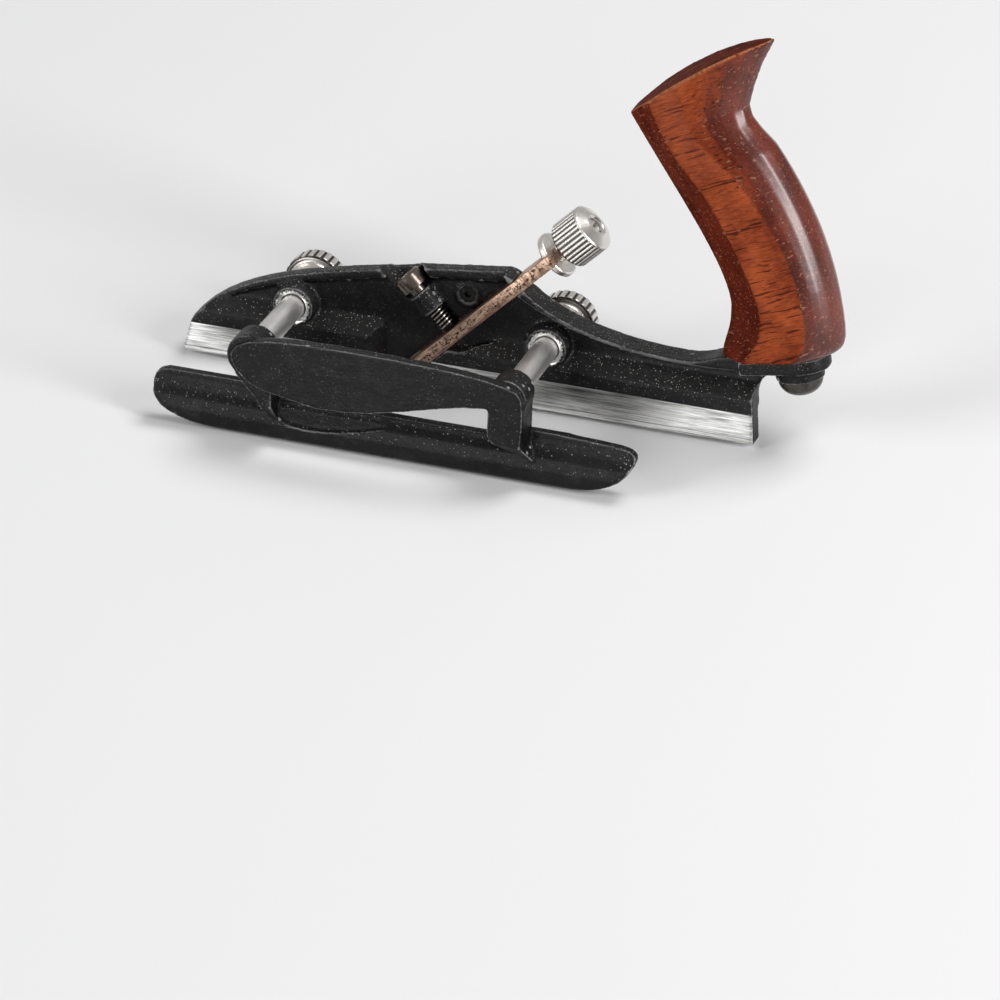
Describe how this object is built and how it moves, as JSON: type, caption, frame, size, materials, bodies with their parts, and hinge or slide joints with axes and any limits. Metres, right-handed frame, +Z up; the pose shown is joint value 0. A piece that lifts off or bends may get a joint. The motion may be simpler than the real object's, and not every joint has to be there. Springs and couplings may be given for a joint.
{
  "type": "plough plane",
  "caption": "Plough plane with a leaning body and skate, sliding fence on two rods, feed screw cutter, clamp screw, depth stop and wooden handle.",
  "frame": {"origin": "middle of the footprint on the bench, with the plane lying on its sole and its fence", "axes": "+X from the toe towards the handle, -Y towards the fence side, +Z up from the bench"},
  "size_m": [0.0864, 0.0336, 0.0523],
  "materials": {
    "black_paint": "satin black paint with a fine orange peel",
    "bright_steel": "ground",
    "nickel": "satin nickel plate",
    "dark_steel": "black oxide",
    "blade_steel": "heat-tinted ground tool steel",
    "handle_wood": "varnished red-brown wood",
    "brass": "turned"
  },
  "bodies": {
    "body": {"body_casting": "black_paint", "front_collet": "bright_steel", "rear_collet": "bright_steel", "adjuster_screw": "bright_steel", "handle": "handle_wood", "handle_bolt": "dark_steel", "handle_insert": "brass", "handle_dowel": "bright_steel"},
    "fence": {"fence_casting": "black_paint", "front_rod": "bright_steel", "rear_rod": "bright_steel", "front_rod_screw": "dark_steel", "rear_rod_screw": "dark_steel"},
    "front_nut": {"front_nut": "nickel"},
    "rear_nut": {"rear_nut": "nickel"},
    "cutter": {"cutter": "blade_steel"},
    "knob": {"adjuster_knob": "nickel"},
    "clamp": {"clamp_screw": "dark_steel"},
    "stop": {"depth_stop": "bright_steel"},
    "lock": {"stop_screw": "nickel", "stop_washer": "bright_steel"}
  },
  "joints": [
    {"name": "fence_slide", "type": "slide", "parent": "body", "child": "fence", "axis": [0, 0.9724, -0.2331], "range_m": [-0.0015, 0.0113]},
    {"name": "front_nut_turn", "type": "hinge", "parent": "body", "child": "front_nut", "pos_m": [-0.02836, 0.00957, 0.0071], "axis": [0, 0.9724, -0.2331], "range_deg": [0, 180]},
    {"name": "rear_nut_turn", "type": "hinge", "parent": "body", "child": "rear_nut", "pos_m": [0.00534, 0.00957, 0.0071], "axis": [0, 0.9724, -0.2331], "range_deg": [0, 180]},
    {"name": "cutter_feed", "type": "slide", "parent": "body", "child": "cutter", "axis": [0.7071, 0.1648, 0.6876], "range_m": [-0.0008, 0.001]},
    {"name": "knob_turn", "type": "hinge", "parent": "cutter", "child": "knob", "pos_m": [0.00596, 0.00916, 0.01956], "axis": [0.7071, 0.1648, 0.6876], "range_deg": [-580, 724]},
    {"name": "clamp_turn", "type": "hinge", "parent": "body", "child": "clamp", "pos_m": [-0.01068, 0.00399, 0.0117], "axis": [-0.7071, 0.1648, 0.6876], "range_deg": [0, 180]},
    {"name": "stop_slide", "type": "slide", "parent": "body", "child": "stop", "axis": [0, 0.2331, 0.9724], "range_m": [-0.001, 0.0013]},
    {"name": "lock_turn", "type": "hinge", "parent": "body", "child": "lock", "pos_m": [-0.00566, 0.00877, 0.01233], "axis": [0, 0.9724, -0.2331], "range_deg": [0, 180]}
  ],
  "couplings": [
    {"joint": "knob_turn", "follows": "cutter_feed", "rad_per_m": 12566}
  ]
}
